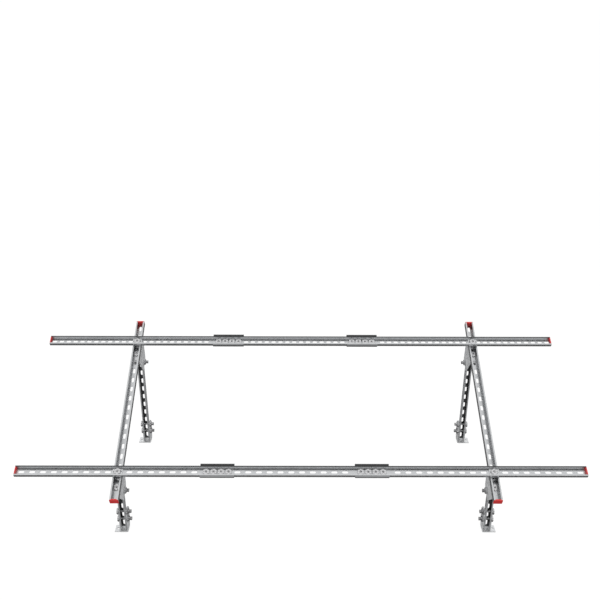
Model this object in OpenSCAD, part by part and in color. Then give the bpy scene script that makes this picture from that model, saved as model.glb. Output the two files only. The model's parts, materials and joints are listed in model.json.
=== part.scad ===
// Tilted frame for two solar panels: two cross rails in three lengths each, carried by two sloping rails
// on four hinged legs. Millimetres, +X along the cross rails, +Y up the slope, +Z up.
// Origin at the middle of the outline, on the ground.

/* [Cross rails] */
// Length of the front cross rail
front_rail_len = 2650; // [2600:10:2700]
// Length of the rear cross rail
rear_rail_len = 2600; // [2580:10:2700]
// Slot spacing along the front rail
front_slot_pitch = 50; // [48:1:54]
// Slot length in the front rail
front_slot_len = 28; // [20:1:32]
// Slot spacing along the rear rail
rear_slot_pitch = 35.8; // [34:0.1:37]
// Slot length in the rear rail
rear_slot_len = 24; // [18:1:26]
// Slot width in every rail
slot_w = 12; // [11:0.5:14]
// Left joint of the front rail, measured from its middle
front_joint_left = 390; // [350:5:430]
// Right joint of the front rail, measured from its middle
front_joint_right = 327; // [300:1:360]
// Left joint of the rear rail, measured from its middle
rear_joint_left = 377; // [350:1:420]
// Right joint of the rear rail, measured from its middle
rear_joint_right = 316; // [300:1:350]
// Gap between two rail lengths
joint_gap = 1; // [0.5:0.5:3]
// Distance between the two cross rails, along the slope
rail_spacing = 757; // [700:1:780]

/* [Rail sections] */
// Width of the cross rails
cross_w = 51; // [50:0.5:54]
// Height of the cross rails
cross_h = 19; // [17:0.5:25]
// Width of the sloping rails
rail_w = 41; // [38:0.5:43]
// Height of the sloping rails
rail_h = 31; // [28:0.5:41]
// Wall of the rails
rail_t = 2; // [1.5:0.25:2.5]
// Width of each in-turned lip
lip_w = 6.5; // [5:0.5:8]
// Outer radius of the folds
fold_r = 3; // [2.5:0.25:4]

/* [Sloping rails] */
// Tilt of the frame in degrees
tilt = 23.1; // [18:0.5:28]
// Height above the ground of the crossing line, where the front slots start
deck_h = 376; // [366:1:450]
// Distance of the left sloping rail from the middle
slope_left_x = 852; // [830:1:870]
// Distance of the right sloping rail from the middle
slope_right_x = 895; // [890:1:900]
// Slot spacing along the sloping rails
slope_slot_pitch = 54.6; // [52:0.2:57]
// Number of slots in each sloping rail
slope_slots = 18; // [18:1:18]
// Slot length in the sloping rails
slope_slot_len = 29; // [22:1:32]
// Solid length above the first slot
slope_top_margin = 27.5; // [22:0.5:40]
// Solid length below the last slot
slope_bottom_margin = 75.5; // [60:0.5:90]
// Distance from the front rail down to the slot above it
front_rail_offset = 46; // [40:1:52]

/* [Splices] */
// Length of each splice saddle
splice_len = 158; // [150:1:170]
// Wall of the splice saddle
splice_t = 3; // [2:0.5:4]
// Width of the out-turned edges of the saddle
splice_lip = 6; // [3:0.5:8]
// Distance between the splice bolts
splice_pitch = 34.7; // [32:0.1:38]
// Play between saddle and rail on each side
splice_play = 0.2; // [0.1:0.05:0.5]

/* [Bolts] */
// Diameter of the bolts
bolt_d = 10; // [8:1:10]
// Play of a bolt in a plain hole, on the radius
hole_play = 0.5; // [0.3:0.1:1]
// Play of a pivot bolt in its hole, on the radius
pivot_play = 0.05; // [0.03:0.01:0.1]
// Width across the flats of heads and nuts
hex_w = 15; // [14:0.5:18]
// Height of the heads
head_h = 6.5; // [5:0.5:8]
// Height of the nuts
nut_h = 8; // [6:0.5:10]
// Diameter of the flange under heads and nuts
flange_d = 18; // [17.5:0.5:22]
// Thickness of that flange
flange_t = 1.5; // [1:0.25:2]
// Thread that stands past each nut
thread_tail = 7; // [2:0.5:8]

/* [Crossings] */
// Length of the crossing plate along the cross rail
plate_l = 46; // [40:1:56]
// Width of the crossing plate
plate_w = 30; // [24:1:33]
// Thickness of the crossing plate
plate_t = 3; // [2:0.5:4]
// Diameter of the two side holes in the plate
plate_hole_d = 7; // [5:0.5:9]
// Length of the channel nut along the sloping rail
nut_bar_l = 20; // [18:1:26]
// Thickness of the channel nut
nut_bar_t = 8; // [6:0.5:10]

/* [Connectors] */
// Length of a connector along the sloping rail
conn_l = 156; // [140:2:160]
// Sheet thickness of the connector
conn_t = 3.5; // [3:0.25:4.5]
// Distance of the front pivot below the sloping rail
front_drop = 76; // [62:1:80]
// Distance of the rear pivot below the sloping rail
rear_drop = 107; // [85:1:112]
// Straight edge of the connector below its top fold
conn_edge = 8; // [6:1:16]
// Width of the connector near its lower edge
conn_low_w = 88; // [70:2:96]
// Sheet of the connector below the pivot
conn_low = 22; // [18:1:34]
// Radius of the connector's lower corners
conn_r = 14; // [10:1:18]
// Outer radius of the folds of connectors and feet
bracket_fold_r = 5; // [4.5:0.25:7]

/* [Legs] */
// Width of the leg section
leg_w = 32; // [28:1:34]
// Depth of the leg section
leg_d = 31; // [26:1:34]
// Wall of the leg section
leg_t = 2; // [1.5:0.25:2.5]
// Width of the leg's in-turned lips
leg_lip = 6.5; // [5:0.5:8]
// Length of the front legs above their pivot
front_leg_head = 46; // [16:1:48]
// Length of the rear legs above their pivot
rear_leg_head = 58; // [16:1:60]
// Height of the leg's lower end above the ground
leg_lift = 15; // [12:0.5:16]
// Slot spacing in the legs
leg_slot_pitch = 50; // [46:1:56]
// Slot length in the legs
leg_slot_len = 28; // [20:1:32]
// Height of the first leg slot above the leg's lower end
leg_slot_first = 26; // [22:1:32]
// Gap between a leg and the sheets beside it
side_gap = 0.3; // [0.2:0.05:0.6]

/* [Feet] */
// Sheet thickness of the feet
foot_t = 3.5; // [3:0.25:4.5]
// Height of the foot's pivot above the ground
foot_pivot_h = 75; // [72:1:80]
// Distance from the foot's pivot to its lock bolt
lock_r = 44; // [40:1:50]
// Angle of the curved slot in degrees
lock_sweep = 70; // [40:5:75]
// Play of the lock bolt in the curved slot, on the radius
lock_play = 0.4; // [0.3:0.05:0.8]
// Sheet left around the curved slot
foot_rim = 13; // [10:0.5:16]
// Distance from the pivot to the foot's front edge
foot_front = 12; // [11:1:15]
// Length of the foot's base behind the pivot
foot_back = 34; // [28:1:50]
// Width of the flange that stands out past the foot
foot_flange = 26; // [24:1:36]
// Diameter of the anchor hole
anchor_d = 11; // [9:0.5:13]

/* [End caps] */
// Thickness of the face of the sloping rails' end caps
cap_t = 3; // [2:0.5:4]
// Depth of the plug of an end cap
cap_plug = 4; // [3:0.5:8]
// Play of the plug in the rail
cap_play = 0.3; // [0.2:0.05:0.5]

/* [Hidden] */
$fn = 48;

steel = "silver";
dark_steel = "darkgray";
cap_red = "firebrick";

// Slope coordinates: s runs up the slope, n stands square to it, 0 where the cross rails rest.
// s is 0 at the slot third from the bottom of a sloping rail.
slots_above_zero = slope_slots - 3;
s_top = slots_above_zero * slope_slot_pitch + slope_top_margin;
s_bottom = -2 * slope_slot_pitch - slope_bottom_margin;
s_front = -front_rail_offset;
s_rear = s_front + rail_spacing;
slope_len = s_top - s_bottom;

// Each connector is centred between two slots of its sloping rail.
s_pivot_front = -1.5 * slope_slot_pitch;
s_pivot_rear = 12.5 * slope_slot_pitch;
n_pivot_front = -rail_h - front_drop;
n_pivot_rear = -rail_h - rear_drop;

y_of = function (s, n) s * cos(tilt) - n * sin(tilt);
z_of = function (s, n) deck_h + s * sin(tilt) + n * cos(tilt);

// The outline reaches from the lower end cap to the upper one, and is centred on the origin.
y_low = y_of(s_bottom - cap_t, 0);
y_high = y_of(s_top + cap_t, -rail_h);
y_shift = -(y_low + y_high) / 2;

y_leg_front = y_of(s_pivot_front, n_pivot_front) + y_shift;
y_leg_rear = y_of(s_pivot_rear, n_pivot_rear) + y_shift;
z_pivot_front = z_of(s_pivot_front, n_pivot_front);
z_pivot_rear = z_of(s_pivot_rear, n_pivot_rear);

bolt_r = bolt_d / 2;
hole_r = bolt_r + hole_play;
pivot_r = bolt_r + pivot_play;
sheet_in = leg_w / 2 + side_gap;
conn_out = sheet_in + conn_t;
foot_out = sheet_in + foot_t;
lock_h = foot_pivot_h + lock_r;
eps = 1;
// Rounded corners stand this little past the straight edges that they join.
seam = 0.05;

// Places of the slots, counted from the outer ends inwards.
front_slot_margin = 28;
rear_slot_margin = 20;
rear_right_margin = 18;
splice_reach = splice_len / 2;

// Shapes

module deck() {
    translate([0, y_shift, deck_h]) rotate([tilt, 0, 0]) children();
}

module round_box(w, h, r) {
    union() {
        translate([-w / 2 + r, 0]) square([w - 2 * r, h]);
        translate([-w / 2, r]) square([w, h - 2 * r]);
        for (x = [-w / 2 + r, w / 2 - r], y = [r, h - r])
            translate([x, y]) circle(r = r);
    }
}

module channel_section(w, h, t, lip, r) {
    difference() {
        round_box(w, h, r);
        translate([0, t]) round_box(w - 2 * t, h - 2 * t, r - t);
        translate([-w / 2 + lip, h - t - eps]) square([w - 2 * lip, t + 2 * eps]);
    }
}

module slot(len, w) {
    union() {
        square([len - w, w], center = true);
        for (x = [-(len - w) / 2, (len - w) / 2]) translate([x, 0]) circle(d = w);
    }
}

// A length of cross rail from x0 to x1, standing on n = 0.
module rail(x0, x1, s, slots, slot_len, holes) {
    translate([0, s, 0]) difference() {
        translate([x0, 0, 0]) rotate([90, 0, 90]) linear_extrude(x1 - x0)
            channel_section(cross_w, cross_h, rail_t, lip_w, fold_r);
        translate([0, 0, -eps]) linear_extrude(rail_t + 2 * eps)
            for (x = slots) translate([x, 0]) slot(slot_len, slot_w);
        for (x = holes) translate([x, 0, -eps]) cylinder(r = hole_r, h = rail_t + 2 * eps);
    }
}

function steps_up(first, pitch, limit) = [for (x = first; x <= limit; x = x + pitch) x];
function steps_down(first, pitch, limit) = [for (x = first; x >= limit; x = x - pitch) x];
function splice_holes(x) = [for (k = [-1.5 : 1 : 1.5]) x + k * splice_pitch];
function holes_before(joint) = [for (x = splice_holes(joint)) if (x < joint) x];
function holes_after(joint) = [for (x = splice_holes(joint)) if (x > joint) x];

module splice(x, s) {
    inner = cross_w + 2 * splice_play;
    outer = inner + 2 * splice_t;
    translate([x, s, 0]) difference() {
        translate([-splice_reach, 0, 0]) rotate([90, 0, 90]) linear_extrude(splice_len) union() {
            difference() {
                translate([0, -splice_t]) round_box(outer, cross_h + splice_t + 2 * fold_r, fold_r + 1);
                translate([-inner / 2, 0]) square([inner, cross_h + 4 * fold_r]);
                translate([-outer, cross_h]) square([2 * outer, 4 * fold_r]);
            }
            for (side = [-1, 1])
                translate([side * (outer / 2 + splice_lip / 2 - eps / 2) - splice_lip / 2 - eps / 2,
                           cross_h - splice_t])
                    square([splice_lip + eps, splice_t]);
        }
        for (hx = splice_holes(0))
            translate([hx, 0, -splice_t - eps]) cylinder(r = hole_r, h = splice_t + 2 * eps);
    }
}

// A bolt with its head seated on z = 0 and its shank reaching down.
module bolt(grip) {
    union() {
        cylinder(d = flange_d, h = flange_t);
        cylinder(d = hex_w / cos(30), h = head_h, $fn = 6);
        translate([0, 0, -grip - nut_h - thread_tail]) cylinder(r = bolt_r, h = grip + nut_h + thread_tail + eps);
    }
}

// A nut that hangs below z = 0.
module nut() {
    difference() {
        union() {
            translate([0, 0, -flange_t]) cylinder(d = flange_d, h = flange_t);
            translate([0, 0, -nut_h]) cylinder(d = hex_w / cos(30), h = nut_h, $fn = 6);
        }
        translate([0, 0, -nut_h - eps]) cylinder(r = pivot_r, h = nut_h + 2 * eps);
    }
}

// Each of these puts its children at the seats of one group of fasteners.
module at_splice_bolts() {
    deck() {
        for (joint = [-front_joint_left, front_joint_right], x = splice_holes(joint))
            translate([x, s_front, 0]) children();
        for (joint = [-rear_joint_left, rear_joint_right], x = splice_holes(joint))
            translate([x, s_rear, 0]) children();
    }
}

module at_crossings() {
    deck() for (x = [-slope_left_x, slope_right_x], s = [s_front, s_rear]) translate([x, s, 0]) children();
}

module at_connector_bolts() {
    deck() for (x = [-slope_left_x, slope_right_x], s = [s_pivot_front, s_pivot_rear], side = [-0.5, 0.5])
        translate([x, s + side * slope_slot_pitch, -rail_h]) children();
}

// A bolt across a leg, head outwards, and the place of its nut, for the side that out points to.
module across(out, grip) {
    rotate([0, out * 90, 0]) translate([0, 0, grip / 2]) children();
}

module across_nut(out, grip) {
    rotate([0, out * 90, 0]) translate([0, 0, -grip / 2]) children();
}

module at_pivots() {
    for (y_z = [[y_leg_front, z_pivot_front], [y_leg_rear, z_pivot_rear]]) {
        translate([-slope_left_x, y_z[0], y_z[1]]) mirror([1, 0, 0]) children();
        translate([slope_right_x, y_z[0], y_z[1]]) children();
    }
}

module slope_rail(x) {
    deck() translate([x, 0, -rail_h]) difference() {
        translate([0, s_top, 0]) rotate([90, 0, 0]) linear_extrude(slope_len)
            channel_section(rail_w, rail_h, rail_t, lip_w, fold_r);
        translate([0, 0, -eps]) linear_extrude(rail_t + 2 * eps)
            for (k = [-2 : slots_above_zero])
                translate([0, k * slope_slot_pitch]) rotate(90) slot(slope_slot_len, slot_w);
    }
}

// The plug of an end cap from z = 0 down, in the section's own plane.
module cap_plug(w, h) {
    mouth = w - 2 * lip_w - 2 * cap_play;
    translate([0, rail_t + cap_play, -cap_plug]) linear_extrude(cap_plug) union() {
        round_box(w - 2 * rail_t - 2 * cap_play, h - 2 * rail_t - 2 * cap_play, fold_r - rail_t);
        translate([-mouth / 2, 0]) square([mouth, h - rail_t - cap_play]);
    }
}

module cross_cap(x, s, side) {
    deck() translate([x, s, 0]) rotate([90, 0, side * 90]) cap_plug(cross_w, cross_h);
}

module slope_cap(x, s, end) {
    deck() translate([x, s, -rail_h]) rotate([90, 0, end > 0 ? 180 : 0]) union() {
        linear_extrude(cap_t) round_box(rail_w, rail_h, fold_r);
        cap_plug(rail_w, rail_h);
    }
}

// Where the straight line from a corner touches a circle, on the outer side.
function touch(corner, centre, r) =
    let (d = corner - centre, a = atan2(d[1], d[0]) - acos(r / norm(d)))
    centre + r * [cos(a), sin(a)];

// Block with the side outline of a connector: y along the sloping rail, z below it.
module connector_block(drop) {
    span = 4 * conn_out;
    corner = [conn_l / 2, -conn_edge];
    bottom = -drop - conn_low;
    bend = [conn_low_w / 2 - conn_r, bottom + conn_r - seam];
    tangent = touch(corner, bend, conn_r - seam);
    rotate([90, 0, 90]) translate([0, 0, -span / 2]) union() {
        linear_extrude(span)
            polygon([[-corner[0], 0], [corner[0], 0], corner, tangent, [bend[0], bottom],
                     [-bend[0], bottom], [-tangent[0], tangent[1]], [-corner[0], corner[1]]]);
        for (side = [-1, 1]) translate([side * bend[0], bend[1], 0]) cylinder(r = conn_r, h = span);
    }
}

module connector(x, s, drop) {
    tall = drop + conn_low + 2 * bracket_fold_r;
    deck() translate([x, s, -rail_h]) difference() {
        intersection() {
            translate([0, conn_l / 2, -tall]) rotate([90, 0, 0]) linear_extrude(conn_l) difference() {
                round_box(2 * conn_out, tall, bracket_fold_r);
                translate([0, -2 * bracket_fold_r])
                    round_box(2 * sheet_in, tall - conn_t + 2 * bracket_fold_r, bracket_fold_r - conn_t);
            }
            connector_block(drop);
        }
        for (side = [-0.5, 0.5])
            translate([0, side * slope_slot_pitch, -conn_t - eps]) cylinder(r = hole_r, h = conn_t + 2 * eps);
        translate([-2 * conn_out, 0, -drop]) rotate([0, 90, 0]) cylinder(r = pivot_r, h = 4 * conn_out);
    }
}

module leg(x, y, z_pivot, head) {
    top = z_pivot + head;
    translate([x, y, 0]) difference() {
        translate([0, 0, leg_lift]) linear_extrude(top - leg_lift)
            translate([0, leg_d / 2]) mirror([0, 1]) channel_section(leg_w, leg_d, leg_t, leg_lip, fold_r);
        for (z = steps_up(leg_lift + leg_slot_first, leg_slot_pitch, top - leg_slot_first))
            translate([0, leg_d / 2 - leg_t - eps, z]) rotate([-90, 0, 0])
                linear_extrude(leg_t + 2 * eps) rotate(90) slot(leg_slot_len, slot_w);
        for (z = [z_pivot, foot_pivot_h, lock_h])
            translate([-leg_w, 0, z]) rotate([0, 90, 0]) cylinder(r = pivot_r, h = 2 * leg_w);
    }
}

// Curved slot around the foot's pivot, from straight above it towards the back.
module curved_slot() {
    half = bolt_r + lock_play;
    spread = 2 * lock_r;
    union() {
        intersection() {
            difference() {
                circle(r = lock_r + half);
                circle(r = lock_r - half);
            }
            polygon([[0, 0], [0, spread], [spread, spread],
                     [spread, spread * tan(90 - lock_sweep)]]);
        }
        for (a = [90, 90 - lock_sweep]) translate(lock_r * [cos(a), sin(a)]) circle(r = half);
    }
}

// Side view of a foot: y towards the back, z up from the ground.
module foot_side() {
    fan_r = lock_r + foot_rim;
    union() {
        translate([0, foot_pivot_h]) intersection() {
            circle(r = fan_r);
            translate([-foot_front, 0]) square([fan_r + foot_front, fan_r]);
        }
        polygon([[-foot_front, 0], [foot_back, 0], [foot_back, 2 * foot_t], [fan_r, foot_pivot_h],
                 [-foot_front, foot_pivot_h]]);
    }
}

// A foot for the left (out = -1) or right (out = 1) side, standing on the ground under its leg.
module foot(x, y, out) {
    tall = lock_h + foot_rim + 2 * bracket_fold_r;
    depth = foot_front + lock_r + foot_rim;
    translate([x, y, 0]) difference() {
        union() {
            intersection() {
                translate([0, depth, 0]) rotate([90, 0, 0]) linear_extrude(2 * depth) difference() {
                    round_box(2 * foot_out, tall, bracket_fold_r);
                    translate([0, foot_t])
                        round_box(2 * sheet_in, tall + 2 * bracket_fold_r, bracket_fold_r - foot_t);
                }
                rotate([90, 0, 90]) linear_extrude(4 * foot_out, center = true) foot_side();
            }
            translate([out > 0 ? foot_out - bracket_fold_r : -foot_out - foot_flange, -foot_front, 0])
                cube([foot_flange + bracket_fold_r, foot_front + foot_back, foot_t]);
        }
        translate([-2 * foot_out, 0, 0]) rotate([90, 0, 90]) linear_extrude(4 * foot_out)
            translate([0, foot_pivot_h]) curved_slot();
        translate([-2 * foot_out, 0, foot_pivot_h]) rotate([0, 90, 0]) cylinder(r = pivot_r, h = 4 * foot_out);
        translate([out * (foot_out + foot_flange / 2), (foot_back - foot_front) / 2, -eps])
            cylinder(d = anchor_d, h = foot_t + 2 * eps);
    }
}

// Sub-parts

module front_rail_left() {
    color(steel) deck()
        rail(-front_rail_len / 2, -front_joint_left - joint_gap / 2, s_front,
             steps_up(-front_rail_len / 2 + front_slot_margin, front_slot_pitch,
                      -front_joint_left - splice_reach - front_slot_len / 2),
             front_slot_len, holes_before(-front_joint_left));
}
module front_rail_middle() {
    color(steel) deck()
        rail(-front_joint_left + joint_gap / 2, front_joint_right - joint_gap / 2, s_front,
             steps_up(-front_joint_left + splice_reach + front_slot_len / 2, front_slot_pitch,
                      front_joint_right - splice_reach - front_slot_len / 2),
             front_slot_len, concat(holes_after(-front_joint_left), holes_before(front_joint_right)));
}
module front_rail_right() {
    color(steel) deck()
        rail(front_joint_right + joint_gap / 2, front_rail_len / 2, s_front,
             steps_down(front_rail_len / 2 - front_slot_margin, front_slot_pitch,
                        front_joint_right + splice_reach + front_slot_len / 2),
             front_slot_len, holes_after(front_joint_right));
}
module rear_rail_left() {
    color(steel) deck()
        rail(-rear_rail_len / 2, -rear_joint_left - joint_gap / 2, s_rear,
             steps_up(-rear_rail_len / 2 + rear_slot_margin, rear_slot_pitch,
                      -rear_joint_left - splice_reach - rear_slot_len / 2),
             rear_slot_len, holes_before(-rear_joint_left));
}
module rear_rail_middle() {
    color(steel) deck()
        rail(-rear_joint_left + joint_gap / 2, rear_joint_right - joint_gap / 2, s_rear,
             steps_up(-rear_joint_left + splice_reach + rear_slot_len / 2, rear_slot_pitch,
                      rear_joint_right - splice_reach - rear_slot_len / 2),
             rear_slot_len, concat(holes_after(-rear_joint_left), holes_before(rear_joint_right)));
}
module rear_rail_right() {
    color(steel) deck()
        rail(rear_joint_right + joint_gap / 2, rear_rail_len / 2, s_rear,
             steps_down(rear_rail_len / 2 - rear_right_margin, rear_slot_pitch,
                        rear_joint_right + splice_reach + rear_slot_len / 2),
             rear_slot_len, holes_after(rear_joint_right));
}

module front_splice_left() { color(steel) deck() splice(-front_joint_left, s_front); }
module front_splice_right() { color(steel) deck() splice(front_joint_right, s_front); }
module rear_splice_left() { color(steel) deck() splice(-rear_joint_left, s_rear); }
module rear_splice_right() { color(steel) deck() splice(rear_joint_right, s_rear); }

module front_rail_cap_left() { color(cap_red) cross_cap(-front_rail_len / 2, s_front, -1); }
module front_rail_cap_right() { color(cap_red) cross_cap(front_rail_len / 2, s_front, 1); }
module rear_rail_cap_left() { color(cap_red) cross_cap(-rear_rail_len / 2, s_rear, -1); }
module rear_rail_cap_right() { color(cap_red) cross_cap(rear_rail_len / 2, s_rear, 1); }

module slope_rail_left() { color(steel) slope_rail(-slope_left_x); }
module slope_rail_right() { color(steel) slope_rail(slope_right_x); }
module slope_cap_top_left() { color(cap_red) slope_cap(-slope_left_x, s_top, 1); }
module slope_cap_bottom_left() { color(cap_red) slope_cap(-slope_left_x, s_bottom, -1); }
module slope_cap_top_right() { color(cap_red) slope_cap(slope_right_x, s_top, 1); }
module slope_cap_bottom_right() { color(cap_red) slope_cap(slope_right_x, s_bottom, -1); }

module splice_bolts() {
    color(dark_steel) at_splice_bolts() translate([0, 0, rail_t]) bolt(rail_t + splice_t);
}
module splice_nuts() { color(dark_steel) at_splice_bolts() translate([0, 0, -splice_t]) nut(); }

module crossing_plates() {
    color(steel) at_crossings() translate([0, 0, rail_t]) difference() {
        linear_extrude(plate_t) square([plate_l, plate_w], center = true);
        translate([0, 0, -eps]) cylinder(r = hole_r, h = plate_t + 2 * eps);
        for (x = [-plate_l / 2 + plate_hole_d, plate_l / 2 - plate_hole_d])
            translate([x, 0, -eps]) cylinder(d = plate_hole_d, h = plate_t + 2 * eps);
    }
}
module crossing_bolts() {
    color(dark_steel) at_crossings() translate([0, 0, rail_t + plate_t])
        bolt(rail_t + plate_t + rail_t + nut_bar_t - nut_h);
}
module channel_nuts() {
    bar_w = rail_w - 2 * rail_t - 2 * eps;
    color(dark_steel) at_crossings() difference() {
        translate([-bar_w / 2, -nut_bar_l / 2, -rail_t - nut_bar_t]) cube([bar_w, nut_bar_l, nut_bar_t]);
        translate([0, 0, -rail_t - nut_bar_t - eps]) cylinder(r = pivot_r, h = nut_bar_t + 2 * eps);
    }
}

module connector_front_left() { color(steel) connector(-slope_left_x, s_pivot_front, front_drop); }
module connector_front_right() { color(steel) connector(slope_right_x, s_pivot_front, front_drop); }
module connector_rear_left() { color(steel) connector(-slope_left_x, s_pivot_rear, rear_drop); }
module connector_rear_right() { color(steel) connector(slope_right_x, s_pivot_rear, rear_drop); }

module connector_bolts() {
    color(dark_steel) at_connector_bolts() translate([0, 0, rail_t]) bolt(rail_t + conn_t);
}
module connector_nuts() { color(dark_steel) at_connector_bolts() translate([0, 0, -conn_t]) nut(); }

module pivot_bolts() { color(dark_steel) at_pivots() across(1, 2 * conn_out) bolt(2 * conn_out); }
module pivot_nuts() { color(dark_steel) at_pivots() across_nut(1, 2 * conn_out) nut(); }

module leg_front_left() { color(steel) leg(-slope_left_x, y_leg_front, z_pivot_front, front_leg_head); }
module leg_front_right() { color(steel) leg(slope_right_x, y_leg_front, z_pivot_front, front_leg_head); }
module leg_rear_left() { color(steel) leg(-slope_left_x, y_leg_rear, z_pivot_rear, rear_leg_head); }
module leg_rear_right() { color(steel) leg(slope_right_x, y_leg_rear, z_pivot_rear, rear_leg_head); }

module foot_front_left() { color(steel) foot(-slope_left_x, y_leg_front, -1); }
module foot_front_right() { color(steel) foot(slope_right_x, y_leg_front, 1); }
module foot_rear_left() { color(steel) foot(-slope_left_x, y_leg_rear, -1); }
module foot_rear_right() { color(steel) foot(slope_right_x, y_leg_rear, 1); }

// The foot's own pivot bolt sits on the foot, and the lock bolt keeps a small gap to it.
module foot_bolt(x, y, out) {
    color(dark_steel) translate([x, y, foot_pivot_h]) across(out, 2 * foot_out) bolt(2 * foot_out);
}
module foot_nut(x, y, out) {
    color(dark_steel) translate([x, y, foot_pivot_h]) across_nut(out, 2 * foot_out) nut();
}
lock_grip = 2 * (foot_out + side_gap);
module lock_bolt(x, y, out) {
    color(dark_steel) translate([x, y, lock_h]) across(out, lock_grip) bolt(lock_grip);
}
module lock_nut(x, y, out) {
    color(dark_steel) translate([x, y, lock_h]) across_nut(out, lock_grip) nut();
}

module foot_bolt_front_left() { foot_bolt(-slope_left_x, y_leg_front, -1); }
module foot_bolt_front_right() { foot_bolt(slope_right_x, y_leg_front, 1); }
module foot_bolt_rear_left() { foot_bolt(-slope_left_x, y_leg_rear, -1); }
module foot_bolt_rear_right() { foot_bolt(slope_right_x, y_leg_rear, 1); }
module foot_nut_front_left() { foot_nut(-slope_left_x, y_leg_front, -1); }
module foot_nut_front_right() { foot_nut(slope_right_x, y_leg_front, 1); }
module foot_nut_rear_left() { foot_nut(-slope_left_x, y_leg_rear, -1); }
module foot_nut_rear_right() { foot_nut(slope_right_x, y_leg_rear, 1); }
module lock_bolt_front_left() { lock_bolt(-slope_left_x, y_leg_front, -1); }
module lock_bolt_front_right() { lock_bolt(slope_right_x, y_leg_front, 1); }
module lock_bolt_rear_left() { lock_bolt(-slope_left_x, y_leg_rear, -1); }
module lock_bolt_rear_right() { lock_bolt(slope_right_x, y_leg_rear, 1); }
module lock_nut_front_left() { lock_nut(-slope_left_x, y_leg_front, -1); }
module lock_nut_front_right() { lock_nut(slope_right_x, y_leg_front, 1); }
module lock_nut_rear_left() { lock_nut(-slope_left_x, y_leg_rear, -1); }
module lock_nut_rear_right() { lock_nut(slope_right_x, y_leg_rear, 1); }

front_rail_left();
front_rail_middle();
front_rail_right();
rear_rail_left();
rear_rail_middle();
rear_rail_right();
front_splice_left();
front_splice_right();
rear_splice_left();
rear_splice_right();
front_rail_cap_left();
front_rail_cap_right();
rear_rail_cap_left();
rear_rail_cap_right();
slope_rail_left();
slope_rail_right();
slope_cap_top_left();
slope_cap_bottom_left();
slope_cap_top_right();
slope_cap_bottom_right();
splice_bolts();
splice_nuts();
crossing_bolts();
crossing_plates();
channel_nuts();
connector_front_left();
connector_front_right();
connector_rear_left();
connector_rear_right();
connector_bolts();
connector_nuts();
pivot_bolts();
pivot_nuts();
leg_front_left();
leg_front_right();
leg_rear_left();
leg_rear_right();
foot_front_left();
foot_front_right();
foot_rear_left();
foot_rear_right();
foot_bolt_front_left();
foot_bolt_front_right();
foot_bolt_rear_left();
foot_bolt_rear_right();
foot_nut_front_left();
foot_nut_front_right();
foot_nut_rear_left();
foot_nut_rear_right();
lock_bolt_front_left();
lock_bolt_front_right();
lock_bolt_rear_left();
lock_bolt_rear_right();
lock_nut_front_left();
lock_nut_front_right();
lock_nut_rear_left();
lock_nut_rear_right();
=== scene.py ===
"""Solar panel tilt frame: galvanised strut rails on four hinged, slotted legs.

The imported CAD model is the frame. This script gives it its finishes, the studio and the camera.
Metres, +X along the cross rails, +Y up the slope, +Z up, ground at Z = 0.
"""
import json
import math

import bmesh
import bpy
from mathutils import Matrix, Vector


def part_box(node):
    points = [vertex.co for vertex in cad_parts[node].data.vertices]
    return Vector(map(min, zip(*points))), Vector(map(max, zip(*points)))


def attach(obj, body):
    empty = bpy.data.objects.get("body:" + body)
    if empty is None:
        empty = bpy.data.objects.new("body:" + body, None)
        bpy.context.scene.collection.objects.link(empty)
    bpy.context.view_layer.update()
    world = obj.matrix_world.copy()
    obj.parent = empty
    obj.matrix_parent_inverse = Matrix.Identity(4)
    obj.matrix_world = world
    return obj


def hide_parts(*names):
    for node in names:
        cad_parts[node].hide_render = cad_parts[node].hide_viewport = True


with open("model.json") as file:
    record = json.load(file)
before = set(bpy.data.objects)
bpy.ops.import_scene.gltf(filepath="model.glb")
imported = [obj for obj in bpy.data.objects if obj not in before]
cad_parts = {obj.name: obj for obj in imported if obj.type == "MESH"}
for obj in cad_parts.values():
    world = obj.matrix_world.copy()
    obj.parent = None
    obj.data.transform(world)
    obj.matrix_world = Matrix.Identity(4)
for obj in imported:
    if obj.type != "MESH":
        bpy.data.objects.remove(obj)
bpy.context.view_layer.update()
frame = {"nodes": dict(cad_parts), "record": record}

NODES = frame["nodes"]
BODIES = frame["record"]["behaviour"]["bodies"]
BODY_OF = {node: body for body, nodes in BODIES.items() for node in nodes}

# Fasteners: 10 mm flange bolts and nuts, turned in rings of points
HEX_WIDTH = 0.015
SHANK_RADIUS = 0.005
THREAD_PITCH = 0.0015
THREAD_DEPTH = 0.0007
THREAD_END_BEVEL = 0.0003
FLANGE_RADIUS = 0.009
FLANGE_EDGE = 0.0009
FLANGE_TOP = 0.0019
BOLT_HEAD = 0.0065
NUT_HEIGHT = 0.008
TURN_STEPS = 24
ROWS_PER_PITCH = 4
HEX_TOP_RADIUS = 0.475 * HEX_WIDTH
HEX_CHAMFER = 30
DIMPLE_RIM = 0.30 * HEX_WIDTH
DIMPLE_FLOOR = 0.27 * HEX_WIDTH
DIMPLE_DEPTH = 0.0004
BORE_PLAY = 0.00005
BORE_CHAMFER = 0.0006

# Finishes, as linear colours
RAIL_GREY = (0.60, 0.61, 0.62)
SHEET_GREY = (0.76, 0.77, 0.78)
BOLT_GREY = (0.66, 0.66, 0.67)
# Saddle zinc set dark: painted shade for the shaded walls and flanges of the splices
SADDLE_SHADED_GREY = (0.26, 0.264, 0.27)
LEG_GREY = (0.55, 0.56, 0.57)
CAP_RED = (0.60, 0.034, 0.034)

# Zinc coat: its clouds, and painted shade in recesses: how open a place is where the painted shade is full
# and where it ends
CLOUD_SCALE = 9.0
CLOUD_DETAIL = 5.0
DEEP_RECESS = 0.15
OPEN_FACE = 0.85
RECESS_SAMPLES = 12

# Painted shade on the rear lip of a cross rail or saddle, which begins at this share of the piece's height
SHADED_LIP_START = 0.92
NO_SHADED_LIP = 2.0

# Moulding grain of the caps: darkest tone, its swing and the strength of the bump
GRAIN_DARKEST = 0.92
GRAIN_SWING = 0.16
GRAIN_BUMP = 0.4

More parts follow.
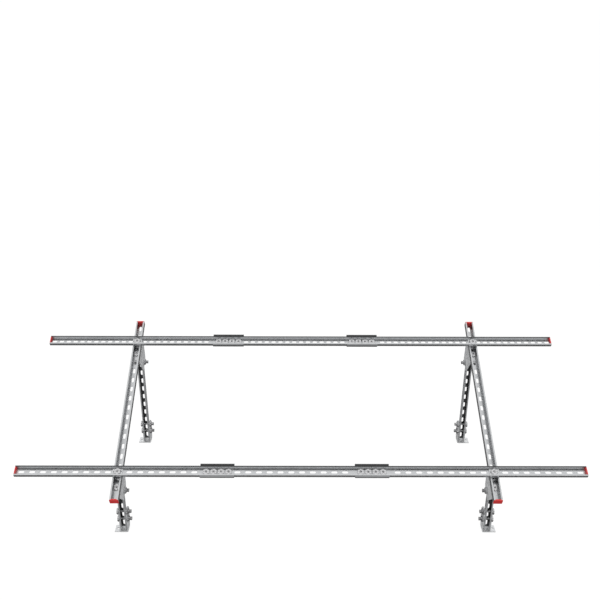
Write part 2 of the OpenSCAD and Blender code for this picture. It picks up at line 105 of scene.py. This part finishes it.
# Camera, fitted to the photograph of 600 by 600 pixels
IMAGE_SIZE = 600
FOCAL_PIXELS = 850
SENSOR_WIDTH = 36.0
CAMERA_PLACE = (-0.03318, -3.50628, 2.85833)
CAMERA_PITCH = 26.94
CAMERA_YAW = 0.398
CAMERA_ROLL = 0.323

# Studio
FLOOR_HALF = 40.0
FLOOR_GREY = 0.14
FLOOR_GLOW = 0.90
SKY_ON_OBJECT = 0.92
FILL_SIZE = 1.6
FILL_POWER = 90.0
FILL_PLACES = ((-4.2, -3.2, 0.9), (4.2, -3.2, 0.9))


def node_link(tree, source, target):
    """Joins an output socket to an input socket."""
    tree.links.new(source, target)


def add(tree, kind, **values):
    """A node of that kind with its properties set."""
    node = tree.nodes.new(kind)
    for name, value in values.items():
        setattr(node, name, value)
    return node


def group_with(name, inputs, outputs):
    """An empty shader node group with the named sockets, and its two end nodes."""
    group = bpy.data.node_groups.new(name, "ShaderNodeTree")
    for label, kind, value in inputs:
        socket = group.interface.new_socket(label, in_out="INPUT", socket_type=kind)
        socket.default_value = value
    for label, kind in outputs:
        group.interface.new_socket(label, in_out="OUTPUT", socket_type=kind)
    return group, add(group, "NodeGroupInput"), add(group, "NodeGroupOutput")


def zinc_coat_group():
    """Mottled zinc coat: cloudy tone with faint crystal patches, and painted shade that darkens it in
    recesses and on a lip.
    """
    group, inp, out = group_with(
        "zinc_coat",
        [("Zinc Color", "NodeSocketColor", (0.6, 0.6, 0.6, 1)),
         ("Patch Scale", "NodeSocketFloat", 60.0),
         ("Contrast", "NodeSocketFloat", 0.1),
         ("Roughness Base", "NodeSocketFloat", 0.42),
         ("Recess Width", "NodeSocketFloat", 0.03),
         ("Recess Painted Shade", "NodeSocketFloat", 0.2),
         ("Shaded Lip Start", "NodeSocketFloat", NO_SHADED_LIP),
         ("Lip Painted Shade", "NodeSocketFloat", 1.0)],
        [("Color", "NodeSocketColor"), ("Roughness", "NodeSocketFloat")])
    place = add(group, "ShaderNodeTexCoord")
    patches = add(group, "ShaderNodeTexVoronoi", feature="F1")
    node_link(group, place.outputs["Object"], patches.inputs["Vector"])
    node_link(group, inp.outputs["Patch Scale"], patches.inputs["Scale"])
    grey = add(group, "ShaderNodeRGBToBW")
    node_link(group, patches.outputs["Color"], grey.inputs["Color"])
    clouds = add(group, "ShaderNodeTexNoise")
    clouds.inputs["Scale"].default_value = CLOUD_SCALE
    clouds.inputs["Detail"].default_value = CLOUD_DETAIL
    node_link(group, place.outputs["Object"], clouds.inputs["Vector"])
    both = add(group, "ShaderNodeMath", operation="ADD")
    node_link(group, grey.outputs["Val"], both.inputs[0])
    node_link(group, clouds.outputs["Fac"], both.inputs[1])
    centred = add(group, "ShaderNodeMath", operation="SUBTRACT")
    node_link(group, both.outputs[0], centred.inputs[0])
    centred.inputs[1].default_value = 1.0
    swing = add(group, "ShaderNodeMath", operation="MULTIPLY_ADD")
    node_link(group, centred.outputs[0], swing.inputs[0])
    node_link(group, inp.outputs["Contrast"], swing.inputs[1])
    swing.inputs[2].default_value = 1.0
    # Painted shade: the colour darkens in corners and recesses, where shade falls, measured by ambient
    # occlusion.
    recess = add(group, "ShaderNodeAmbientOcclusion", samples=RECESS_SAMPLES)
    node_link(group, inp.outputs["Recess Width"], recess.inputs["Distance"])
    depth = add(group, "ShaderNodeMapRange")
    depth.inputs["From Min"].default_value = DEEP_RECESS
    depth.inputs["From Max"].default_value = OPEN_FACE
    node_link(group, recess.outputs["AO"], depth.inputs["Value"])
    node_link(group, inp.outputs["Recess Painted Shade"], depth.inputs["To Min"])
    level = add(group, "ShaderNodeMath", operation="MULTIPLY")
    node_link(group, swing.outputs[0], level.inputs[0])
    node_link(group, depth.outputs["Result"], level.inputs[1])
    # Painted shade: above its share of the height, the rear lip is darkened to the lip's shade level.
    share = add(group, "ShaderNodeSeparateXYZ")
    node_link(group, place.outputs["Generated"], share.inputs[0])
    on_lip = add(group, "ShaderNodeMath", operation="GREATER_THAN")
    node_link(group, share.outputs["Z"], on_lip.inputs[0])
    node_link(group, inp.outputs["Shaded Lip Start"], on_lip.inputs[1])
    lip = add(group, "ShaderNodeMapRange")
    node_link(group, on_lip.outputs[0], lip.inputs["Value"])
    lip.inputs["To Min"].default_value = 1.0
    node_link(group, inp.outputs["Lip Painted Shade"], lip.inputs["To Max"])
    edged = add(group, "ShaderNodeMath", operation="MULTIPLY")
    node_link(group, level.outputs[0], edged.inputs[0])
    node_link(group, lip.outputs["Result"], edged.inputs[1])
    tone = add(group, "ShaderNodeVectorMath", operation="SCALE")
    node_link(group, inp.outputs["Zinc Color"], tone.inputs[0])
    node_link(group, edged.outputs[0], tone.inputs["Scale"])
    node_link(group, tone.outputs["Vector"], out.inputs["Color"])
    rough = add(group, "ShaderNodeMath", operation="MULTIPLY", use_clamp=True)
    node_link(group, inp.outputs["Roughness Base"], rough.inputs[0])
    node_link(group, swing.outputs[0], rough.inputs[1])
    node_link(group, rough.outputs[0], out.inputs["Roughness"])
    return group


def grain_group():
    """Fine moulding grain for plastic, as a normal and a slight change of tone."""
    group, inp, out = group_with(
        "moulding_grain",
        [("Plastic Color", "NodeSocketColor", (0.6, 0.02, 0.02, 1)),
         ("Grain Scale", "NodeSocketFloat", 600.0),
         ("Depth", "NodeSocketFloat", 0.0001)],
        [("Color", "NodeSocketColor"), ("Normal", "NodeSocketVector")])
    place = add(group, "ShaderNodeTexCoord")
    grain = add(group, "ShaderNodeTexNoise")
    node_link(group, place.outputs["Object"], grain.inputs["Vector"])
    node_link(group, inp.outputs["Grain Scale"], grain.inputs["Scale"])
    bump = add(group, "ShaderNodeBump")
    bump.inputs["Strength"].default_value = GRAIN_BUMP
    node_link(group, grain.outputs["Fac"], bump.inputs["Height"])
    node_link(group, inp.outputs["Depth"], bump.inputs["Distance"])
    node_link(group, bump.outputs["Normal"], out.inputs["Normal"])
    swing = add(group, "ShaderNodeMath", operation="MULTIPLY_ADD")
    node_link(group, grain.outputs["Fac"], swing.inputs[0])
    swing.inputs[1].default_value = GRAIN_SWING
    swing.inputs[2].default_value = GRAIN_DARKEST
    tone = add(group, "ShaderNodeVectorMath", operation="SCALE")
    node_link(group, inp.outputs["Plastic Color"], tone.inputs[0])
    node_link(group, swing.outputs[0], tone.inputs["Scale"])
    node_link(group, tone.outputs["Vector"], out.inputs["Color"])
    return group


ZINC_COAT_AND_SHADE = zinc_coat_group()
GRAIN = grain_group()


def surface(name):
    """A new material, its node tree and its Principled BSDF."""
    material = bpy.data.materials.new(name)
    material.use_nodes = True
    return material, material.node_tree, material.node_tree.nodes["Principled BSDF"]


def zinc_surface(name, color, metallic, roughness, patch_scale, recess_width, recess_painted_shade,
                 contrast=0.10, shaded_lip_start=NO_SHADED_LIP, lip_painted_shade=1.0):
    """Zinc on steel, with painted shade that darkens it in corners within the recess width down to the
    recess level, and painted shade on a lip down to the lip's level.
    """
    material, tree, shader = surface(name)
    coat = add(tree, "ShaderNodeGroup", node_tree=ZINC_COAT_AND_SHADE)
    coat.inputs["Zinc Color"].default_value = (*color, 1)
    coat.inputs["Patch Scale"].default_value = patch_scale
    coat.inputs["Contrast"].default_value = contrast
    coat.inputs["Roughness Base"].default_value = roughness
    coat.inputs["Recess Width"].default_value = recess_width
    coat.inputs["Recess Painted Shade"].default_value = recess_painted_shade
    coat.inputs["Shaded Lip Start"].default_value = shaded_lip_start
    coat.inputs["Lip Painted Shade"].default_value = lip_painted_shade
    shader.inputs["Metallic"].default_value = metallic
    node_link(tree, coat.outputs["Color"], shader.inputs["Base Color"])
    node_link(tree, coat.outputs["Roughness"], shader.inputs["Roughness"])
    return material


def cap_surface():
    """Moulded red plastic of the end caps."""
    material, tree, shader = surface("red_cap_plastic")
    grain = add(tree, "ShaderNodeGroup", node_tree=GRAIN)
    grain.inputs["Plastic Color"].default_value = (*CAP_RED, 1)
    shader.inputs["Roughness"].default_value = 0.45
    node_link(tree, grain.outputs["Color"], shader.inputs["Base Color"])
    node_link(tree, grain.outputs["Normal"], shader.inputs["Normal"])
    return material


def finish_of(part):
    """The name of a part's finish: its material slot, or a finish of its own."""
    node = part["node"]
    if node.startswith("leg_"):
        return "galvanised_leg"
    if "_splice_" in node:
        return "saddle"
    if node.startswith(("front_rail_", "rear_rail_")) and "_cap_" not in node:
        return "cross_rail"
    return part["material_slot"]


def dress():
    """Gives every CAD node its finish, and the bolts and nuts their details."""
    finishes = {
        "galvanised_rail": zinc_surface(
            "galvanised_rail", RAIL_GREY, metallic=0.97, roughness=0.28, patch_scale=70.0,
            recess_width=0.012, recess_painted_shade=0.50),
        # Painted shade: the cross rails' rear lips are darkened to a dark line.
        "cross_rail": zinc_surface(
            "galvanised_cross_rail", RAIL_GREY, metallic=0.97, roughness=0.28, patch_scale=70.0,
            recess_width=0.012, recess_painted_shade=0.85, shaded_lip_start=SHADED_LIP_START, lip_painted_shade=0.14),
        # Painted shade: the insides of the leg channels are darkened nearly to black.
        "galvanised_leg": zinc_surface(
            "galvanised_leg", LEG_GREY, metallic=0.60, roughness=0.36, patch_scale=70.0,
            recess_width=0.035, recess_painted_shade=0.02),
        "galvanised_sheet": zinc_surface(
            "galvanised_sheet", SHEET_GREY, metallic=0.30, roughness=0.40, patch_scale=90.0,
            recess_width=0.010, recess_painted_shade=0.20),
        # Painted shade: the saddle is much darker than the rails, and its rear lip darker still.
        "saddle": zinc_surface(
            "galvanised_saddle", SADDLE_SHADED_GREY, metallic=0.92, roughness=0.30, patch_scale=90.0,
            recess_width=0.010, recess_painted_shade=0.30, shaded_lip_start=SHADED_LIP_START, lip_painted_shade=0.25),
        "zinc_fastener": zinc_surface(
            "zinc_fastener", BOLT_GREY, metallic=0.95, roughness=0.22, patch_scale=300.0,
            recess_width=0.005, recess_painted_shade=0.35, contrast=0.06),
        "cap_plastic": cap_surface(),
    }
    for part in frame["record"]["subparts"]:
        NODES[part["node"]].material_slots[0].material = finishes[finish_of(part)]
    detail_fasteners(finishes["zinc_fastener"])


def hex_radius(angle):
    """Distance from the axis to the flat of a hexagon in that direction."""
    sixth = math.pi / 3
    return HEX_WIDTH / 2 / math.cos((angle + sixth / 2) % sixth - sixth / 2)


def turned_mesh(name, rings, closed_ends):
    """Rings of points, each joined to the next; the first and last are filled, or joined to each other."""
    steps = len(rings[0])
    points = [point for ring in rings for point in ring]
    faces = []
    bands = len(rings) - 1 if closed_ends else len(rings)
    for row in range(bands):
        low, high = row * steps, (row + 1) % len(rings) * steps
        for k in range(steps):
            after = (k + 1) % steps
            faces.append((low + k, low + after, high + after, high + k))
    if closed_ends:
        faces.append(tuple(reversed(range(steps))))
        faces.append(tuple(range(len(points) - steps, len(points))))
    mesh = bpy.data.meshes.new(name)
    mesh.from_pydata(points, [], faces)
    return mesh


def ring(radius, height, steps=TURN_STEPS):
    """Points round the axis; radius and height may be functions of the angle."""
    points = []
    for k in range(steps):
        angle = 2 * math.pi * k / steps
        r = radius(angle) if callable(radius) else radius
        z = height(angle) if callable(height) else height
        points.append((r * math.cos(angle), r * math.sin(angle), z))
    return points


def chamfer_below(top):
    """Height where the chamfer cuts the hexagon, for a head that ends at top."""
    slope = math.tan(math.radians(HEX_CHAMFER))
    return lambda angle: top - (hex_radius(angle) - HEX_TOP_RADIUS) * slope


def thread_radius(height):
    """Radius of the thread at that height, for each angle round it."""
    def radius(angle):
        turn = (height / THREAD_PITCH - angle / (2 * math.pi)) % 1
        return SHANK_RADIUS - THREAD_DEPTH * abs(2 * turn - 1)
    return radius


def flange_bolt(name, shank):
    """Head up from Z = 0, threaded shank down to -shank."""
    core = SHANK_RADIUS - THREAD_DEPTH
    rows = int((shank - THREAD_PITCH) / THREAD_PITCH * ROWS_PER_PITCH)
    rings = [ring(core - THREAD_END_BEVEL, -shank), ring(core, -shank + THREAD_PITCH / 2)]
    rings += [ring(thread_radius(z), z)
              for z in (-shank + THREAD_PITCH * (1 + k / ROWS_PER_PITCH) for k in range(rows))]
    rings += [ring(SHANK_RADIUS, 0), ring(FLANGE_RADIUS, 0), ring(FLANGE_RADIUS, FLANGE_EDGE),
              ring(hex_radius, FLANGE_TOP), ring(hex_radius, chamfer_below(BOLT_HEAD)),
              ring(HEX_TOP_RADIUS, BOLT_HEAD), ring(DIMPLE_RIM, BOLT_HEAD),
              ring(DIMPLE_FLOOR, BOLT_HEAD - DIMPLE_DEPTH)]
    return turned_mesh(name, rings, closed_ends=True)


def flange_nut(name):
    """Flange on Z = 0 and the nut down to its height, with an open bore."""
    lower = chamfer_below(NUT_HEIGHT)
    bore = SHANK_RADIUS + BORE_PLAY
    rings = [ring(bore, 0), ring(FLANGE_RADIUS, 0), ring(FLANGE_RADIUS, -FLANGE_EDGE),
             ring(hex_radius, -FLANGE_TOP), ring(hex_radius, lambda angle: -lower(angle)),
             ring(HEX_TOP_RADIUS, -NUT_HEIGHT), ring(bore + BORE_CHAMFER, -NUT_HEIGHT),
             ring(bore, -NUT_HEIGHT + BORE_CHAMFER)]
    return turned_mesh(name, [list(reversed(points)) for points in rings], closed_ends=False)


def solids_of(node):
    """The separate solids of a node, each as its list of points."""
    mesh = NODES[node].data
    group = list(range(len(mesh.vertices)))

    def root(k):
        while group[k] != k:
            group[k] = group[group[k]]
            k = group[k]
        return k

    for edge in mesh.edges:
        a, b = (root(k) for k in edge.vertices)
        group[a] = b
    solids = {}
    for vertex in mesh.vertices:
        solids.setdefault(root(vertex.index), []).append(vertex.co.copy())
    return list(solids.values())


def axis_of(node, middle, normal):
    """Outward axis of a bolt or nut: sideways at legs and feet, square to the deck elsewhere."""
    if node.startswith(("pivot", "foot", "lock")):
        return Vector((math.copysign(1, middle.x), 0, 0))
    return normal


def seats_of(node, normal):
    """(seat, outward axis, length below the seat) of each bolt or nut in a node."""
    found = []
    for points in solids_of(node):
        middle = sum(points, Vector()) / len(points)
        axis = axis_of(node, middle, normal)
        along = [point.dot(axis) for point in points]
        sideways = [point - axis * point.dot(axis) for point in points]
        low = Vector([min(p[k] for p in sideways) for k in range(3)])
        high = Vector([max(p[k] for p in sideways) for k in range(3)])
        if "bolt" in node:
            seat = max(along) - BOLT_HEAD
            found.append(((low + high) / 2 + axis * seat, axis, seat - min(along)))
        else:
            found.append(((low + high) / 2 + axis * max(along), axis, 0.0))
    return found


def deck_normal():
    """The direction square to the tilted deck, from the middles of two front and rear rails."""
    front, rear = (sum(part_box(node), Vector()) / 2 for node in ("front_rail_middle", "rear_rail_middle"))
    rise = rear - front
    return Vector((0, -rise.z, rise.y)).normalized()


def detail_fasteners(finish):
    """Each bolt gets a chamfered head, a flange and a real thread; each nut gets a chamfered hex, a flange
    and a plain bore.
    """
    normal = deck_normal()
    for node in NODES:
        is_bolt, is_nut = "bolt" in node, "nut" in node and node != "channel_nuts"
        if not (is_bolt or is_nut):
            continue
        detailed = bpy.data.meshes.new(node + "_detailed")
        piece = bpy.data.objects.new(node + "_detailed", detailed)
        bpy.context.scene.collection.objects.link(piece)
        joined = bmesh.new()
        for seat, axis, shank in seats_of(node, normal):
            single = flange_bolt(node, shank) if is_bolt else flange_nut(node)
            turn = axis.to_track_quat("Z", "Y").to_matrix().to_4x4()
            single.transform(Matrix.Translation(seat) @ turn)
            joined.from_mesh(single)
            bpy.data.meshes.remove(single)
        joined.to_mesh(detailed)
        joined.free()
        detailed.materials.append(finish)
        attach(piece, BODY_OF[node])
        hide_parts(node)


def seen_by(tree, kinds):
    """A mask that is 1 for these kinds of rays and 0 for the others."""
    ray = add(tree, "ShaderNodeLightPath")
    mask = ray.outputs[kinds[0]]
    for kind in kinds[1:]:
        either = add(tree, "ShaderNodeMath", operation="MAXIMUM")
        node_link(tree, mask, either.inputs[0])
        node_link(tree, ray.outputs[kind], either.inputs[1])
        mask = either.outputs[0]
    return mask


def make_floor():
    """A floor that keeps the shadow and runs to white for the camera; metal mirrors its plain grey."""
    corners = [(x * FLOOR_HALF, y * FLOOR_HALF, 0) for x, y in ((-1, -1), (1, -1), (1, 1), (-1, 1))]
    mesh = bpy.data.meshes.new("studio_floor")
    mesh.from_pydata(corners, [], [(0, 1, 2, 3)])
    floor = bpy.data.objects.new("studio_floor", mesh)
    bpy.context.scene.collection.objects.link(floor)
    material, tree, shader = surface("studio_floor")
    shader.inputs["Base Color"].default_value = (FLOOR_GREY, FLOOR_GREY, FLOOR_GREY, 1)
    shader.inputs["Roughness"].default_value = 1.0
    shader.inputs["Specular IOR Level"].default_value = 0.0
    shader.inputs["Emission Color"].default_value = (1, 1, 1, 1)
    glow = add(tree, "ShaderNodeMath", operation="MULTIPLY")
    glow.inputs[1].default_value = FLOOR_GLOW
    node_link(tree, seen_by(tree, ("Is Camera Ray", "Is Transmission Ray")), glow.inputs[0])
    node_link(tree, glow.outputs[0], shader.inputs["Emission Strength"])
    mesh.materials.append(material)


def make_sky():
    """White where the camera or metal sees it, and a little less as light on the object."""
    world = bpy.data.worlds.new("studio_sky")
    bpy.context.scene.world = world
    world.use_nodes = True
    tree = world.node_tree
    back = tree.nodes["Background"]
    back.inputs["Color"].default_value = (1, 1, 1, 1)
    level = add(tree, "ShaderNodeMapRange")
    level.inputs["To Min"].default_value = SKY_ON_OBJECT
    level.inputs["To Max"].default_value = 1.0
    shown = seen_by(tree, ("Is Camera Ray", "Is Glossy Ray", "Is Transmission Ray"))
    node_link(tree, shown, level.inputs["Value"])
    node_link(tree, level.outputs["Result"], back.inputs["Strength"])


def make_fill_lights():
    """A low light at each side of the camera, off its axis, so that channels keep their dark insides."""
    for side, place in zip(("left", "right"), FILL_PLACES):
        lamp = bpy.data.lights.new("fill_light_" + side, "AREA")
        lamp.energy = FILL_POWER
        lamp.size = FILL_SIZE
        light = bpy.data.objects.new("fill_light_" + side, lamp)
        light.location = place
        light.rotation_euler = (-Vector(place)).to_track_quat("-Z", "Y").to_euler()
        light.visible_glossy = False
        bpy.context.scene.collection.objects.link(light)


def make_camera():
    """The camera of the photograph: pitch below level, yaw to the right, roll about its own axis."""
    pitch, yaw, roll = (math.radians(a) for a in (CAMERA_PITCH, CAMERA_YAW, CAMERA_ROLL))
    level = math.cos(pitch)
    forward = Vector((math.sin(yaw) * level, math.cos(yaw) * level, -math.sin(pitch)))
    level_right = forward.cross(Vector((0, 0, 1))).normalized()
    level_up = level_right.cross(forward)
    right = math.cos(roll) * level_right + math.sin(roll) * level_up
    up = right.cross(forward)
    data = bpy.data.cameras.new("photo_camera")
    data.sensor_width = SENSOR_WIDTH
    data.lens = FOCAL_PIXELS / IMAGE_SIZE * SENSOR_WIDTH
    camera = bpy.data.objects.new("photo_camera", data)
    turn = Matrix((right, up, -forward)).transposed()
    camera.matrix_world = Matrix.Translation(CAMERA_PLACE) @ turn.to_4x4()
    bpy.context.scene.collection.objects.link(camera)
    bpy.context.scene.camera = camera


dress()
make_floor()
make_sky()
make_fill_lights()
make_camera()
bpy.context.scene.view_settings.view_transform = "Standard"
